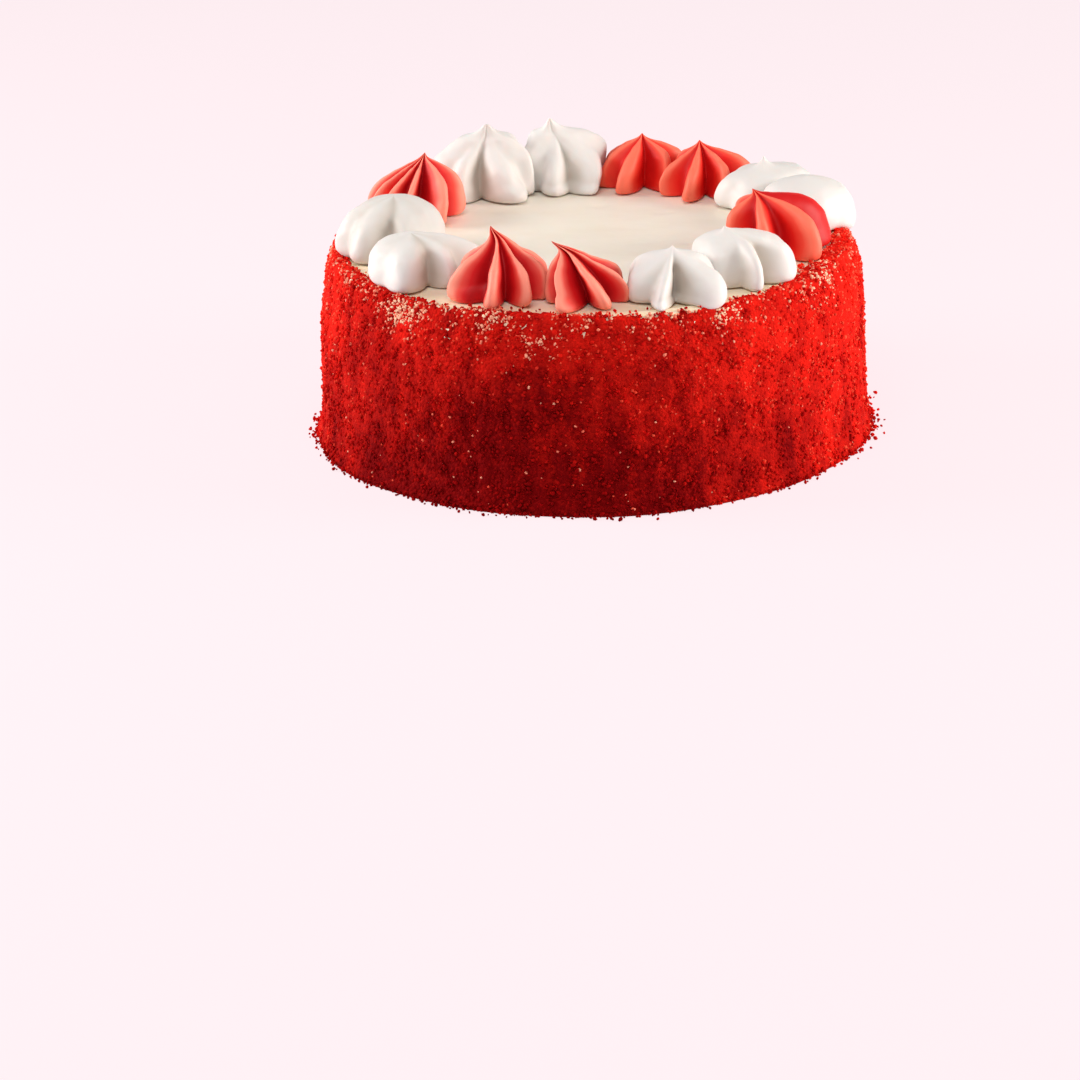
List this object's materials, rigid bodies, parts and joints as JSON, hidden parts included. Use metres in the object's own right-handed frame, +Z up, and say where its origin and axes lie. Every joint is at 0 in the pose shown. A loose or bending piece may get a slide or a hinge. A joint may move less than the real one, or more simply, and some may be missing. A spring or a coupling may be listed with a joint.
{
  "type": "red velvet cake",
  "caption": "Round cake with a wall of red crumbs, a flat cream top and a ring of star-piped swirls in red and white along its rim.",
  "frame": {"origin": "middle of the flat underside", "axes": "+Z up, -Y towards the side that the picture shows, +X to its right"},
  "size_m": [0.2077, 0.2079, 0.0963],
  "materials": {
    "red_crumb": "soft matte cake crumbs, food",
    "ivory_cream": "smooth satin cream, food",
    "red_piping": "satin whipped cream coloured red, food",
    "white_piping": "satin whipped cream, food"
  },
  "bodies": {
    "root": {"cake_body": "red_crumb", "cream_top": "ivory_cream", "swirl_red_1": "red_piping", "swirl_red_2": "red_piping", "swirl_white_1": "white_piping", "swirl_white_2": "white_piping", "swirl_red_3": "red_piping", "swirl_white_3": "white_piping", "swirl_white_4": "white_piping", "swirl_red_4": "red_piping", "swirl_red_5": "red_piping", "swirl_white_5": "white_piping", "swirl_white_6": "white_piping", "swirl_red_6": "red_piping", "swirl_white_7": "white_piping", "swirl_white_8": "white_piping"}
  },
  "joints": []
}
